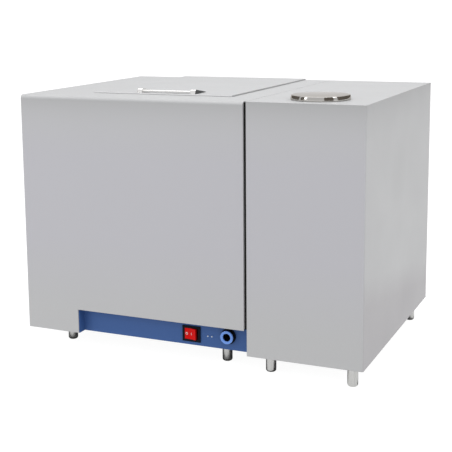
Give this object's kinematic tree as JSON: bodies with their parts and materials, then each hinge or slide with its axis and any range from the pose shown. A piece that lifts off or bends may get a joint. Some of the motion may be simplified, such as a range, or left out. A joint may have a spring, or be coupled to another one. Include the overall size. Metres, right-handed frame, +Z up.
{
  "type": "water bath",
  "caption": "Laboratory water bath: grey sheet-metal cabinet with a hinged tank lid, a capped reservoir tower, a recessed blue control strip and round steel feet.",
  "frame": {"origin": "on the floor under the middle of the cabinet, at the level of the feet's undersides", "axes": "+Z up; -Y is the front with the control strip; +X towards the reservoir tower"},
  "size_m": [0.59, 0.4377, 0.4388],
  "materials": {
    "casing_paint": "light grey fine-textured powder coat",
    "zinc_steel": "zinc-plated, satin",
    "strip_paint": "blue satin paint",
    "black_rubber": "matt black",
    "pale_rubber": "pale silicone",
    "stainless": "satin stainless",
    "polished_steel": "polished bright",
    "handle_steel": "polished, with dark end faces",
    "turned_steel": "turned, satin",
    "wool_mat": "mineral wool mat",
    "heater_alloy": "dark oxidised tube",
    "brass_fitting": "machined",
    "white_plastic": "moulded white",
    "hose_rubber": "translucent silicone hose",
    "black_plastic": "moulded black",
    "blue_plastic": "moulded light blue",
    "red_plastic": "translucent red",
    "lens_white": "clear white lens",
    "motor_paint": "dark grey paint",
    "board_green": "green laminate",
    "heatsink_aluminium": "extruded"
  },
  "bodies": {
    "cabinet": {"bath_cover": "casing_paint", "bath_side_panel": "casing_paint", "bath_rear_panel": "casing_paint", "tower_shell": "casing_paint", "tower_rear_panel": "casing_paint", "bath_partition": "zinc_steel", "base_tray": "zinc_steel", "tower_base": "zinc_steel", "pump_bracket": "zinc_steel", "control_strip": "strip_paint", "joint_strip": "black_rubber", "hinge_body_leaves": "stainless", "hinge_pins": "stainless", "bath_tank": "stainless", "pipe_ends": "stainless", "tank_insulation": "wool_mat", "heater_element": "heater_alloy", "heater_glands": "brass_fitting", "temperature_probe": "stainless", "float_switch_stem": "white_plastic", "drain_hose": "hose_rubber", "drain_fitting_body": "black_plastic", "drain_fitting_nut": "black_plastic", "drain_o_ring": "black_rubber", "switch_housing": "black_plastic", "indicator_lights": "lens_white", "reservoir_vessel": "stainless", "reservoir_shoulder": "stainless", "reservoir_collar": "polished_steel", "pump_motor": "motor_paint", "pump_head": "black_plastic", "pump_hoses": "hose_rubber", "overflow_hose": "hose_rubber", "fan_frame": "black_plastic", "fan_guard": "polished_steel", "control_board": "board_green", "transformer": "motor_paint", "heater_relay": "heatsink_aluminium", "mains_wiring": "black_rubber", "inlet_socket": "black_plastic", "feet": "turned_steel", "foot_nuts": "zinc_steel", "panel_screws": "zinc_steel"},
    "lid": {"lid_panel": "casing_paint", "lid_liner": "stainless", "lid_insulation": "wool_mat", "lid_gasket": "pale_rubber", "lid_handle": "handle_steel", "handle_screws": "zinc_steel", "hinge_lid_leaves": "stainless"},
    "rocker": {"switch_rocker": "red_plastic"},
    "release_collar": {"drain_release_collar": "blue_plastic"},
    "reservoir_cap": {"cap_disc": "polished_steel", "cap_plug": "white_plastic", "cap_o_ring": "black_rubber"},
    "tray": {"perforated_tray": "stainless"},
    "level_float": {"float_switch_float": "white_plastic"},
    "impeller": {"pump_rotor": "stainless"},
    "fan": {"fan_rotor": "black_plastic"},
    "fuse_holder": {"fuse_drawer": "black_plastic"}
  },
  "joints": [
    {"name": "lid_hinge", "type": "hinge", "parent": "cabinet", "child": "lid", "pos_m": [0, 0.21545, 0.4285], "axis": [-1, 0, 0], "range_deg": [0, 100]},
    {"name": "cap_lift", "type": "slide", "parent": "cabinet", "child": "reservoir_cap", "axis": [0, 0, 1], "range_m": [0, 0.1]},
    {"name": "tray_lift", "type": "slide", "parent": "cabinet", "child": "tray", "axis": [0, 0, 1], "range_m": [0, 0.12]},
    {"name": "rocker_tilt", "type": "hinge", "parent": "cabinet", "child": "rocker", "pos_m": [0.005, -0.19635, 0.0487], "axis": [0, 0, 1], "range_deg": [0, 18]},
    {"name": "collar_press", "type": "slide", "parent": "cabinet", "child": "release_collar", "axis": [0, 1, 0], "range_m": [0, 0.0013], "stiffness_N_per_m": 1000, "springref_m": -0.002},
    {"name": "float_rise", "type": "slide", "parent": "cabinet", "child": "level_float", "axis": [0, 0, 1], "range_m": [0, 0.018]},
    {"name": "impeller_spin", "type": "hinge", "parent": "cabinet", "child": "impeller", "pos_m": [-0.086, 0.06, 0.075], "axis": [1, 0, 0], "continuous": true},
    {"name": "fan_spin", "type": "hinge", "parent": "cabinet", "child": "fan", "pos_m": [0.201, 0.19665, 0.33], "axis": [0, 1, 0], "continuous": true},
    {"name": "fuse_slide", "type": "slide", "parent": "cabinet", "child": "fuse_holder", "axis": [0, 1, 0], "range_m": [0, 0.02]}
  ]
}
